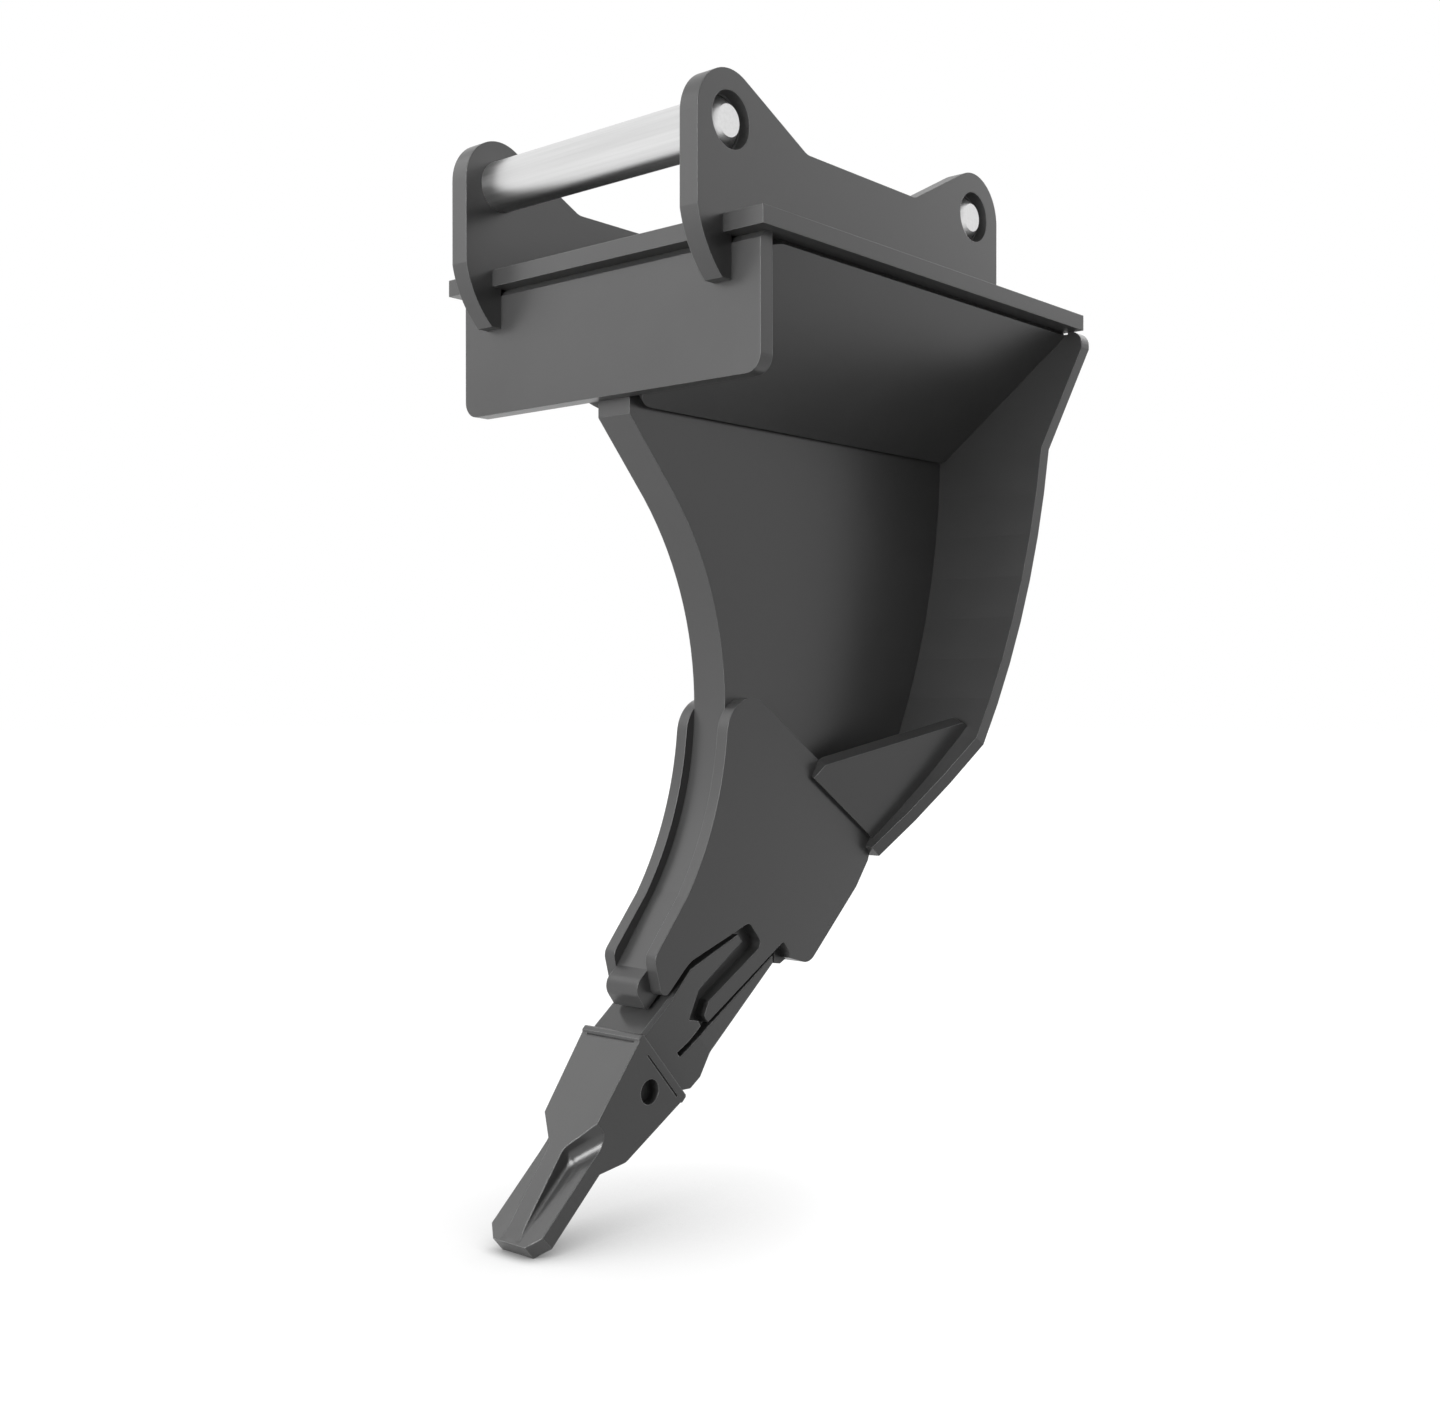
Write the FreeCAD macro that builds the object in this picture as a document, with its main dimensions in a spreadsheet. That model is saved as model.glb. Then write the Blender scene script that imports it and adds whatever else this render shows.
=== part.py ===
"""A ripper shank with a replaceable tooth, hung on two pins from an excavator's quick coupler.

Millimetres. X runs across the shank, Y from the front pin to the rear one, Z up, and the origin
is the middle of the front pin. The tooth and its adapter are drawn in the tooth's own directions:
back from the tooth's rear face, and deep below the top edge of that face.
"""

import FreeCAD, Part
import math
import os
import types

import Sketcher

SIZES = {
    # Pins and the two ears that hold them
    "pin_spacing": 480.0,
    "pin_diameter": 60.0,
    "pin_end_diameter": 35.0,
    "pin_cone_length": 15.0,
    "pin_end_inset": 3.0,
    "ear_gap": 340.0,
    "ear_thickness": 25.0,
    "ear_seat_depth": 10.0,
    "ear_recess_clearance": 1.0,
    "front_lobe_radius": 54.0,
    "rear_lobe_radius": 55.5,
    "saddle_drop": 5.0,
    "saddle_front_y": 133.0,
    "saddle_rear_y": 348.0,
    "saddle_radius": 22.0,
    "tail_length": 15.0,
    "tail_drop": 170.0,
    "tail_arc_drop": 100.0,
    "tail_radius": 130.0,
    # Top plate and front plate
    "top_plate_drop": 102.0,
    "top_plate_thickness": 20.0,
    "top_plate_width": 500.0,
    "top_plate_length": 680.0,
    "top_plate_overhang": 14.0,
    "front_plate_face_y": 1.0,
    "front_plate_thickness": 20.0,
    "front_plate_width": 470.0,
    "front_plate_height": 150.0,
    "front_plate_corner_radius": 20.0,
    "front_plate_bevel": 9.0,
    # Slanting gussets between the shank and the top plate
    "slant_foot_drop": 163.8,
    "slant_head_reach": 231.7,
    "slant_thickness": 10.0,
    "slant_foot_weld_gap": 5.5,
    "slant_head_weld_gap": 5.0,
    "slant_front_foot_radius": 30.0,
    "slant_front_head_radius": 35.0,
    "slant_rear_foot_radius": 13.0,
    # Rear plate, bent in short equal facets
    "rear_plate_cover": 4.8,
    "rear_plate_thickness": 20.0,
    "rear_straight": 151.9,
    "rear_taper_start": 23.0,
    "facet_length": 58.9,
    "facet_count": 10,
    "kink_facet": 7,
    "first_bend_angle": 3.2,
    "bend_step_angle": 3.87,
    "rear_width_at_bend": 378.0,
    "rear_width_at_kink": 303.0,
    "rear_width_at_foot": 104.0,
    "rear_corner_radius": 18.0,
    "weld_relief_width": 16.0,
    "weld_relief_depth": 3.0,
    "weld_relief_inset": 21.0,
    # Where the tooth's rear face stands, and which way it points
    "tooth_seat_y": 23.4,
    "tooth_seat_z": -1001.2,
    "tooth_angle": 41.6,
    # Shank: the throat at its front, the nose at its foot and the fork seat
    "shank_thickness": 50.0,
    "throat_drop": 169.0,
    "throat_top_y": 86.0,
    "throat_top_drop": 242.0,
    "throat_radius": 383.4,
    "throat_foot_back": 171.7,
    "throat_foot_depth": -52.4,
    "nose_brow_back": 67.8,
    "nose_brow_depth": -34.0,
    "nose_lip_back": 37.0,
    "nose_lip_depth": -36.0,
    "nose_heel_back": 34.0,
    "nose_heel_depth": 0.0,
    "nose_lip_radius": 16.0,
    "nose_heel_radius": 5.0,
    "crotch_top_back": 88.9,
    "crotch_top_depth": 3.1,
    "crotch_foot_back": 73.2,
    "crotch_foot_depth": 75.0,
    "strap_seat_back": 85.6,
    "strap_seat_depth": 77.7,
    "strap_slope_angle": 12.4,
    "heel_back": 247.9,
    "heel_toe_back": 228.2,
    "heel_toe_depth": 135.5,
    "heel_sole_back": 236.0,
    "heel_sole_depth": 145.0,
    "heel_join_back": 248.2,
    # Lobe at the rear of the shank and the cheeks
    "lobe_front_back": 241.9,
    "lobe_front_depth": 138.7,
    "lobe_corner_back": 264.0,
    "lobe_depth": 174.0,
    "lobe_corner_radius": 24.0,
    "lobe_crest_back": 400.0,
    "lobe_rear_back": 441.6,
    "lobe_rear_depth": 166.6,
    "lobe_rear_radius": 60.0,
    "lobe_shoulder": 12.0,
    # Cheeks beside the shank
    "cheek_thickness": 16.0,
    "cheek_top_angle": 33.4,
    "cheek_seat_length": 42.7,
    "cheek_crown_y": 174.1,
    "cheek_crown_radius": 46.5,
    "cheek_front_radius": 400.0,
    "cheek_foot_back": 158.1,
    "cheek_foot_depth": -60.3,
    "cheek_brow_back": 73.0,
    "cheek_brow_depth": -48.6,
    "cheek_brow_radius": 15.0,
    "cheek_toe_back": 49.0,
    "cheek_toe_depth": -0.6,
    "cheek_toe_radius": 9.0,
    "window_bend_back": 112.0,
    "window_bend_radius": 50.0,
    "window_end_back": 217.0,
    "window_end_depth": 46.0,
    "window_end_radius": 9.0,
    "tongue_width": 21.0,
    "tongue_tip_slant": 19.0,
    "tongue_corner_radius": 4.0,
    "notch_front_back": 228.8,
    "notch_rear_back": 247.0,
    "notch_foot_depth": 130.0,
    "notch_radius": 5.0,
    # Lower gussets between the cheeks and the rear plate
    "lower_gusset_thickness": 20.0,
    "lower_gusset_lean_angle": 25.8,
    "lower_gusset_rise": 7.9,
    "lower_gusset_weld_gap": 5.0,
    "lower_gusset_foot": 155.5,
    "lower_gusset_brow": -7.6,
    "lower_gusset_height": 167.5,
    "lower_gusset_tip": 13.0,
    "lower_gusset_tip_radius": 12.0,
    # Adapter, a casting that wraps the shank's nose
    "adapter_half_width": 41.0,
    "adapter_gap": 1.5,
    "plateau_depth": 1.0,
    "plateau_fall_angle": 5.3,
    "plateau_chamfer": 4.0,
    "finger_gap": 3.0,
    "finger_tip_back": 197.0,
    "finger_tip_depth": 59.0,
    "finger_root_back": 104.0,
    "finger_root_depth": 44.0,
    "finger_heel_back": 76.0,
    "finger_heel_depth": 53.0,
    "finger_tip_half_width": 35.0,
    "slot_front_back": 25.7,
    "slot_front_depth": 62.3,
    "slot_front_height": 7.6,
    "strap_end_back": 220.0,
    "strap_end_depth": 124.3,
    "strap_end_slant": 12.0,
    "strap_waist_back": 64.0,
    "strap_waist_depth": 107.5,
    "bump_crest_back": 33.0,
    "bump_crest_depth": 115.5,
    "bump_foot_back": 13.0,
    "bump_foot_depth": 112.0,
    "adapter_front_depth": 101.0,
    "strap_waist_radius": 20.0,
    "bump_radius": 5.0,
    "adapter_nose_length": 86.0,
    "adapter_nose_root_half_width": 31.0,
    "adapter_nose_tip_half_width": 26.0,
    "adapter_nose_root_top": 15.0,
    "adapter_nose_root_bottom": 90.0,
    "adapter_nose_tip_top": 29.0,
    "adapter_nose_tip_bottom": 76.0,
    # Tooth, a casting that slips over the adapter's nose
    "tooth_length": 260.6,
    "tooth_half_width": 46.0,
    "tooth_front_half_width": 41.0,
    "tooth_tip_half_width": 25.0,
    "tooth_tip_chamfer": 16.5,
    "tooth_top_depth": -1.5,
    "tooth_tip_top_depth": 43.6,
    "tooth_bottom_depth": 105.6,
    "tooth_bottom_angle": 10.5,
    "tooth_waist_start": 112.5,
    "tooth_waist_end": 146.5,
    "tooth_waist_radius": 18.0,
    "blade_thickness": 20.0,
    "lip_length": 10.0,
    "lip_rise": 2.4,
    "lip_chamfer": 2.0,
    "groove_width": 2.0,
    "groove_depth": 2.0,
    "groove_edge": 8.0,
    "side_groove_top": 20.6,
    "side_groove_bottom": 95.0,
    "spine_half_width": 11.5,
    "scallop_inner_reach": 114.0,
    "scallop_outer_reach": 153.0,
    "scallop_radius": 14.0,
    "tooth_fit": 0.5,
    # Pin that keeps the tooth on the adapter
    "keeper_diameter": 28.4,
    "keeper_fit": 0.3,
    "keeper_forward": 36.2,
    "keeper_depth": 55.7,
    "keeper_half_length": 33.0,
}

doc = FreeCAD.newDocument("ripper_shank")
sheet = doc.addObject("Spreadsheet::Sheet", "Sizes")
for row, (alias, number) in enumerate(SIZES.items(), start=1):
    sheet.set(f"A{row}", alias)
    sheet.set(f"B{row}", str(number))
    sheet.setAlias(f"B{row}", alias)
doc.recompute()


class Size:
    """A number together with the sheet formula that it comes from."""

    def __init__(self, value, formula):
        self.value = value
        self.formula = formula

    def __add__(self, other):
        other = as_size(other)
        return Size(self.value + other.value, f"({self.formula} + {other.formula})")

    def __sub__(self, other):
        other = as_size(other)
        return Size(self.value - other.value, f"({self.formula} - {other.formula})")

    def __mul__(self, other):
        other = as_size(other)
        return Size(self.value * other.value, f"({self.formula} * {other.formula})")

    def __truediv__(self, other):
        other = as_size(other)
        return Size(self.value / other.value, f"({self.formula} / {other.formula})")

    def __neg__(self):
        return Size(-self.value, f"(0 - {self.formula})")

    __radd__ = __add__
    __rmul__ = __mul__


def as_size(number):
    """Returns a size as it is, and a plain number as a size with itself as the formula."""
    if isinstance(number, Size):
        return number
    return Size(float(number), f"({float(number)})")


def sine(angle):
    return Size(math.sin(math.radians(angle.value)), f"sin({angle.formula})")


def cosine(angle):
    return Size(math.cos(math.radians(angle.value)), f"cos({angle.formula})")


def tangent(angle):
    return Size(math.tan(math.radians(angle.value)), f"tan({angle.formula})")


def root(number):
    return Size(math.sqrt(number.value), f"sqrt({number.formula})")


size = types.SimpleNamespace(
    **{alias: Size(float(number), f"Sizes.{alias}") for alias, number in SIZES.items()}
)
ZERO = as_size(0)
RIGHT = 1
LEFT = -1
SIDES = {"right": RIGHT, "left": LEFT}
NEAR = 0.01
# A cut runs this many times as far as it has to, so that it passes right through
PAST = 2


def add_body(label):
    body = doc.addObject("PartDesign::Body", label)
    body.Label = label
    return body


def add_sketch(body, name, role, offset=ZERO):
    """Adds a sketch parallel to one of the body's origin planes, the offset away along its normal."""
    sketch = body.newObject("Sketcher::SketchObject", name)
    plane = next(item for item in body.Origin.OriginFeatures if item.Role == role)
    sketch.AttachmentSupport = (plane, [""])
    sketch.MapMode = "FlatFace"
    sketch.AttachmentOffset = FreeCAD.Placement(FreeCAD.Vector(0, 0, offset.value), FreeCAD.Rotation())
    sketch.setExpression("AttachmentOffset.Base.z", offset.formula)
    return sketch


def pin_down(sketch, edge, end, across, up):
    """Ties one end of a sketch's edge to two sizes."""
    for kind, place in (("DistanceX", across), ("DistanceY", up)):
        number = sketch.addConstraint(Sketcher.Constraint(kind, edge, end, place.value))
        sketch.setExpression(f"Constraints[{number}]", place.formula)


def arc_between(start, end, radius):
    """An arc of less than half a turn: its centre lies on the left of the way for a positive radius."""
    along = end - start
    half = along.Length / 2
    left = FreeCAD.Vector(-along.y, along.x, 0).normalize()
    rise = math.sqrt(radius * radius - half * half)
    centre = start + along / 2 + left * math.copysign(rise, radius)
    first, last = (start, end) if radius > 0 else (end, start)
    turn = FreeCAD.Vector(0, 0, 1)
    circle = Part.Circle(centre, turn, abs(radius))
    return Part.ArcOfCircle(circle, circle.parameter(first), circle.parameter(last))


def draw_outline(sketch, corners):
    """Draws a closed outline. A corner is across, up and, where an arc leaves it, that arc's radius."""
    first_edge = len(sketch.Geometry)
    spots = [FreeCAD.Vector(corner[0].value, corner[1].value, 0) for corner in corners]
    ends = []
    for index, corner in enumerate(corners):
        start = spots[index]
        end = spots[(index + 1) % len(corners)]
        if len(corner) == 3:
            sketch.addGeometry(arc_between(start, end, corner[2].value), False)
            ends.append((1, 2) if corner[2].value > 0 else (2, 1))
        else:
            sketch.addGeometry(Part.LineSegment(start, end), False)
            ends.append((1, 2))
    for index, corner in enumerate(corners):
        edge = first_edge + index
        following = (index + 1) % len(corners)
        pin_down(sketch, edge, ends[index][0], corner[0], corner[1])
        joint = (edge, ends[index][1], first_edge + following, ends[following][0])
        sketch.addConstraint(Sketcher.Constraint("Coincident", *joint))
        if len(corner) == 3:
            size_of_arc = corner[2] if corner[2].value > 0 else -corner[2]
            number = sketch.addConstraint(Sketcher.Constraint("Radius", edge, size_of_arc.value))
            sketch.setExpression(f"Constraints[{number}]", size_of_arc.formula)


def draw_circle(sketch, across, up, radius):
    centre = FreeCAD.Vector(across.value, up.value, 0)
    edge = sketch.addGeometry(Part.Circle(centre, FreeCAD.Vector(0, 0, 1), radius.value), False)
    pin_down(sketch, edge, 3, across, up)
    number = sketch.addConstraint(Sketcher.Constraint("Radius", edge, radius.value))
    sketch.setExpression(f"Constraints[{number}]", radius.formula)


def rectangle(left, right, bottom, top):
    return [(left, bottom), (right, bottom), (right, top), (left, top)]


def add_pad(body, name, sketch, length, backwards=False, symmetric=False):
    """Pads a sketch along its plane's normal, backwards against it, or half each way."""
    pad = body.newObject("PartDesign::Pad", name)
    pad.Profile = sketch
    pad.SideType = "Symmetric" if symmetric else "One side"
    pad.Reversed = backwards
    pad.Length = length.value
    pad.setExpression("Length", length.formula)
    doc.recompute()
    return pad


def add_pocket(body, name, sketch, length, backwards=False, symmetric=False):
    """Cuts a sketch into the body against its plane's normal, backwards along it, or half each way."""
    pocket = body.newObject("PartDesign::Pocket", name)
    pocket.Profile = sketch
    pocket.SideType = "Symmetric" if symmetric else "One side"
    pocket.Reversed = backwards
    pocket.Length = length.value
    pocket.setExpression("Length", length.formula)
    doc.recompute()
    return pocket


def edges_at(shape, axes, spots):
    """Names the straight edges that run square to two axes and pass through the given spots."""
    names = []
    for number, edge in enumerate(shape.Edges, start=1):
        ends = [[getattr(vertex.Point, axis) for axis in axes] for vertex in edge.Vertexes]
        for spot in spots:
            gaps = [abs(end[k] - spot[k].value) for end in ends for k in (0, 1)]
            if len(ends) == 2 and max(gaps) < NEAR:
                names.append(f"Edge{number}")
    return names


def edges_between(shape, pairs):
    """Names the edges that join two points, each point given as three sizes."""
    names = []
    for start, end in pairs:
        first = FreeCAD.Vector(*(place.value for place in start))
        last = FreeCAD.Vector(*(place.value for place in end))
        for number, edge in enumerate(shape.Edges, start=1):
            points = [vertex.Point for vertex in edge.Vertexes]
            gap = min(
                points[0].distanceToPoint(first) + points[-1].distanceToPoint(last),
                points[0].distanceToPoint(last) + points[-1].distanceToPoint(first),
            )
            if gap < NEAR:
                names.append(f"Edge{number}")
    return names


def add_edge_feature(kind, prop, body, name, names, amount):
    base = body.Tip
    feature = body.newObject(kind, name)
    feature.Base = (base, names)
    setattr(feature, prop, amount.value)
    feature.setExpression(prop, amount.formula)
    doc.recompute()
    return feature


def round_corners(body, name, axes, spots, radius):
    """Rounds the edges of the body's last feature that show as the given spots."""
    names = edges_at(body.Tip.Shape, axes, spots)
    return add_edge_feature("PartDesign::Fillet", "Radius", body, name, names, radius)


def bevel_corners(body, name, axes, spots, leg):
    names = edges_at(body.Tip.Shape, axes, spots)
    return add_edge_feature("PartDesign::Chamfer", "Size", body, name, names, leg)


def add_plate(label, outline, inner, thickness, side):
    """A flat plate across X: its inner face stands the given way from the middle, on one side."""
    body = add_body(label)
    sketch = add_sketch(body, f"{label}_outline", "YZ_Plane", inner * side)
    draw_outline(sketch, outline)
    add_pad(body, f"{label}_pad", sketch, thickness, backwards=side == LEFT)
    return body


# Levels and faces that several pieces share
UNDERSIDE = -(size.top_plate_drop + size.top_plate_thickness)
TOP_FACE = -size.top_plate_drop
TOP_PLATE_FRONT = size.front_plate_face_y - size.top_plate_overhang
FRONT_PLATE_REAR = size.front_plate_face_y + size.front_plate_thickness
REAR_FACE = TOP_PLATE_FRONT + size.top_plate_length - size.rear_plate_cover
SHANK_SIDE = size.shank_thickness / 2
CHEEK_SIDE = SHANK_SIDE + size.cheek_thickness
FACETS = int(SIZES["facet_count"])
KINK = int(SIZES["kink_facet"])


def from_tooth(back, depth):
    """The place of a point that is given in the tooth's own directions."""
    along = cosine(size.tooth_angle)
    across = sine(size.tooth_angle)
    return (
        size.tooth_seat_y + back * along + depth * across,
        size.tooth_seat_z + back * across - depth * along,
    )


def bend_lines():
    """The bend lines on the rear plate's inner face, from its top edge to its foot."""
    lines = [(REAR_FACE, UNDERSIDE), (REAR_FACE, UNDERSIDE - size.rear_straight)]
    for facet in range(FACETS):
        tilt = size.first_bend_angle + size.bend_step_angle * facet
        y, z = lines[-1]
        lines.append((y - size.facet_length * sine(tilt), z - size.facet_length * cosine(tilt)))
    return lines


BENDS = bend_lines()
FOOT = BENDS[-1]
LAST_TILT = size.first_bend_angle + size.bend_step_angle * (FACETS - 1)


def strap_line(back):
    """The seat between the shank and the adapter's strap, and the lower edge of the tongues."""
    run = (back - size.strap_seat_back) * tangent(size.strap_slope_angle)
    return from_tooth(back, size.strap_seat_depth + run)


def lobe():
    """The lobe behind the tooth, shared by the shank and the cheeks, up to the rear plate's foot."""
    shoulder = (
        FOOT[0] + size.lobe_shoulder * cosine(LAST_TILT),
        FOOT[1] - size.lobe_shoulder * sine(LAST_TILT),
    )
    return [
        from_tooth(size.lobe_front_back, size.lobe_front_depth),
        from_tooth(size.lobe_corner_back, size.lobe_depth),
        from_tooth(size.lobe_crest_back, size.lobe_depth),
        from_tooth(size.lobe_rear_back, size.lobe_rear_depth),
        shoulder,
        FOOT,
    ]


def make_pin(label, place_y):
    """A pin turned to a blunt cone at both ends, flush inside the ears' outer faces."""
    tip = size.ear_gap / 2 + size.ear_thickness - size.pin_end_inset
    shoulder = tip - size.pin_cone_length
    body = add_body(label)
    sketch = add_sketch(body, f"{label}_profile", "XZ_Plane")
    draw_outline(sketch, [
        (-tip, ZERO),
        (tip, ZERO),
        (tip, size.pin_end_diameter / 2),
        (shoulder, size.pin_diameter / 2),
        (-shoulder, size.pin_diameter / 2),
        (-tip, size.pin_end_diameter / 2),
    ])
    turned = body.newObject("PartDesign::Revolution", f"{label}_turned")
    turned.Profile = sketch
    turned.ReferenceAxis = (sketch, ["H_Axis"])
    turned.Angle = 360
    body.setExpression("Placement.Base.y", place_y.formula)
    doc.recompute()


def lobe_tangent(centre_y, radius, saddle_y, climb):
    """Where the line from the saddle's corner touches the round of a lobe."""
    reach = saddle_y - centre_y
    square = reach * reach + size.saddle_drop * size.saddle_drop
    along = radius * radius / square
    aside = radius * root(square - radius * radius) / square * climb
    return (
        centre_y + reach * along + size.saddle_drop * aside,
        reach * aside - size.saddle_drop * along,
    )


def make_ear(label, side):
    """An ear: two lobes with a saddle between, and a tail that hooks round the top plate."""
    rear_edge = size.pin_spacing + size.rear_lobe_radius
    saddle = -size.saddle_drop
    front_dip = (size.saddle_front_y, saddle)
    rear_dip = (size.saddle_rear_y, saddle)
    body = add_plate(label, [
        (-size.front_lobe_radius, ZERO, -size.front_lobe_radius),
        lobe_tangent(ZERO, size.front_lobe_radius, size.saddle_front_y, 1),
        front_dip,
        rear_dip,
        lobe_tangent(size.pin_spacing, size.rear_lobe_radius, size.saddle_rear_y, -1)
        + (-size.rear_lobe_radius,),
        (rear_edge, ZERO),
        (rear_edge, TOP_FACE),
        (TOP_PLATE_FRONT, TOP_FACE),
        (TOP_PLATE_FRONT, UNDERSIDE),
        (size.front_plate_face_y, UNDERSIDE),
        (size.front_plate_face_y, -size.tail_drop),
        (size.front_plate_face_y - size.tail_length, -size.tail_drop, -size.tail_radius),
        (-size.front_lobe_radius, -size.tail_arc_drop),
    ], size.ear_gap / 2, size.ear_thickness, side)
    round_corners(body, f"{label}_saddle", "yz", [front_dip, rear_dip], size.saddle_radius)
    outer_face = (size.ear_gap / 2 + size.ear_thickness) * side
    seat = size.pin_diameter / 2
    recess = seat + size.ear_recess_clearance
    recess_depth = size.ear_thickness - size.ear_seat_depth
    for name, radius, depth in (("bore", seat, size.ear_thickness), ("recess", recess, recess_depth)):
        sketch = add_sketch(body, f"{label}_{name}_circles", "YZ_Plane", outer_face)
        draw_circle(sketch, ZERO, ZERO, radius)
        draw_circle(sketch, size.pin_spacing, ZERO, radius)
        add_pocket(body, f"{label}_{name}", sketch, depth, backwards=side == LEFT)


def make_top_plate():
    """The flat plate that the ears stand on."""
    body = add_body("top_plate")
    sketch = add_sketch(body, "top_plate_outline", "XY_Plane", UNDERSIDE)
    half = size.top_plate_width / 2
    draw_outline(sketch, rectangle(-half, half, TOP_PLATE_FRONT, TOP_PLATE_FRONT + size.top_plate_length))
    add_pad(body, "top_plate_pad", sketch, size.top_plate_thickness)


def make_front_plate():
    """The upright plate under the front edge, bevelled on top for its weld."""
    body = add_body("front_plate")
    sketch = add_sketch(body, "front_plate_outline", "XZ_Plane", -FRONT_PLATE_REAR)
    half = size.front_plate_width / 2
    foot = UNDERSIDE - size.front_plate_height
    draw_outline(sketch, rectangle(-half, half, foot, UNDERSIDE))
    add_pad(body, "front_plate_pad", sketch, size.front_plate_thickness)
    corners = [(-half, foot), (half, foot)]
    round_corners(body, "front_plate_corners", "xz", corners, size.front_plate_corner_radius)
    top_edge = [(size.front_plate_face_y, UNDERSIDE)]
    bevel_corners(body, "front_plate_weld_bevel", "yz", top_edge, size.front_plate_bevel)


def make_leaning_plate(label, side, corner, first, second, outline, rounded, thickness, room):
    """A flat plate that leans, drawn in its own plane, with its edges trimmed flush to its neighbours.

    The corner is its sketch's origin in space, first and second are the sketch's directions, and
    the room is the solid that its neighbours leave free.
    """
    blank = add_body(f"{label}_blank")
    sketch = add_sketch(blank, f"{label}_outline", "XY_Plane")
    draw_outline(sketch, outline)
    add_pad(blank, f"{label}_pad", sketch, thickness, backwards=side == RIGHT)
    for number, (spot, radius) in enumerate(rounded):
        round_corners(blank, f"{label}_corner_{number}", "xy", [spot], radius)
    turn = FreeCAD.Rotation(first, second, first.cross(second), "XYZ")
    blank.Placement = FreeCAD.Placement(corner, turn)
    plate = doc.addObject("Part::MultiCommon", label)
    plate.Label = label
    plate.Shapes = [blank, room]
    doc.recompute()


def make_slant_gusset(label, side):
    """A thin plate that slants from the shank's side up to the top plate, front plate to rear plate.

    Its long edges are cut square to its face, so a groove for the weld stays open along each.
    """
    run = size.slant_head_reach - SHANK_SIDE
    face = root(run * run + size.slant_foot_drop * size.slant_foot_drop)
    length = REAR_FACE - FRONT_PLATE_REAR
    foot = UNDERSIDE - size.slant_foot_drop
    room = doc.addObject("Part::Box", f"{label}_room")
    inner_x = SHANK_SIDE if side == RIGHT else -size.slant_head_reach
    for prop, amount in (
        ("Length", run),
        ("Width", length),
        ("Height", size.slant_foot_drop),
        ("Placement.Base.x", inner_x),
        ("Placement.Base.y", FRONT_PLATE_REAR),
        ("Placement.Base.z", foot),
    ):
        room.setExpression(prop, amount.formula)
    low = size.slant_foot_weld_gap * face / run
    high = face - size.slant_head_weld_gap * face / size.slant_foot_drop
    outline = rectangle(ZERO, length, low, high)
    corner = FreeCAD.Vector(SHANK_SIDE.value * side, FRONT_PLATE_REAR.value, foot.value)
    rearward = FreeCAD.Vector(0, 1, 0)
    outward = FreeCAD.Vector(run.value * side, 0, size.slant_foot_drop.value).normalize()
    rounded = [
        ((ZERO, low), size.slant_front_foot_radius),
        ((ZERO, high), size.slant_front_head_radius),
        ((length, low), size.slant_rear_foot_radius),
    ]
    make_leaning_plate(
        label, side, corner, rearward, outward, outline, rounded, size.slant_thickness, room
    )


def rear_plate_sections():
    """For each cut across the rear plate: its place, its turn from square and its half width."""
    top_half = size.top_plate_width / 2
    bend_half = size.rear_width_at_bend / 2
    kink_half = size.rear_width_at_kink / 2
    foot_half = size.rear_width_at_foot / 2
    sections = [
        (BENDS[0], ZERO, ZERO, top_half),
        ((REAR_FACE, UNDERSIDE - size.rear_taper_start), ZERO, ZERO, top_half),
        (BENDS[1], size.first_bend_angle / 2, size.first_bend_angle / 2, bend_half),
    ]
    half_step = size.bend_step_angle / 2
    for facet in range(1, FACETS):
        turn = size.first_bend_angle + size.bend_step_angle * facet - half_step
        if facet <= KINK:
            half = bend_half + (kink_half - bend_half) * (facet / KINK)
        else:
            half = kink_half + (foot_half - kink_half) * ((facet - KINK) / (FACETS - KINK))
        sections.append((BENDS[facet + 1], turn, half_step, half))
    sections.append((FOOT, LAST_TILT, ZERO, foot_half))
    return sections


def make_rear_plate():
    """The rear plate: one plate bent along ten lines, with its edges cut square to its face.

    It is lofted straight from bend to bend through rectangles in the planes that halve each bend,
    so every facet is flat and keeps the plate's thickness.
    """
    body = add_body("rear_plate")
    sketches = []
    for number, (place, turn, half_bend, half_width) in enumerate(rear_plate_sections()):
        sketch = add_sketch(body, f"rear_plate_bend_{number}", "XY_Plane")
        corner = FreeCAD.Vector(0, place[0].value, place[1].value)
        tip_down = FreeCAD.Rotation(FreeCAD.Vector(-1, 0, 0), turn.value)
        sketch.AttachmentOffset = FreeCAD.Placement(corner, tip_down)
        sketch.setExpression("AttachmentOffset.Base.y", place[0].formula)
        sketch.setExpression("AttachmentOffset.Base.z", place[1].formula)
        if turn is not ZERO:
            sketch.setExpression("AttachmentOffset.Rotation.Angle", turn.formula)
        depth = size.rear_plate_thickness / cosine(half_bend)
        draw_outline(sketch, rectangle(-half_width, half_width, ZERO, depth))
        sketches.append(sketch)
    doc.recompute()
    loft = body.newObject("PartDesign::AdditiveLoft", "rear_plate_loft")
    loft.Profile = sketches[0]
    loft.Sections = sketches[1:]
    loft.Ruled = True
    doc.recompute()
    top_half = size.top_plate_width / 2
    corners = [(-top_half, UNDERSIDE), (top_half, UNDERSIDE)]
    round_corners(body, "rear_plate_corners", "xz", corners, size.rear_corner_radius)
    relief = add_sketch(body, "rear_plate_weld_reliefs", "XZ_Plane", -REAR_FACE)
    outer = top_half - size.weld_relief_inset
    inner = outer - size.weld_relief_width
    floor = UNDERSIDE - size.weld_relief_depth
    draw_outline(relief, rectangle(inner, outer, floor, UNDERSIDE))
    draw_outline(relief, rectangle(-outer, -inner, floor, UNDERSIDE))
    add_pocket(body, "rear_plate_relief_cut", relief, size.rear_plate_thickness)


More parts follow.
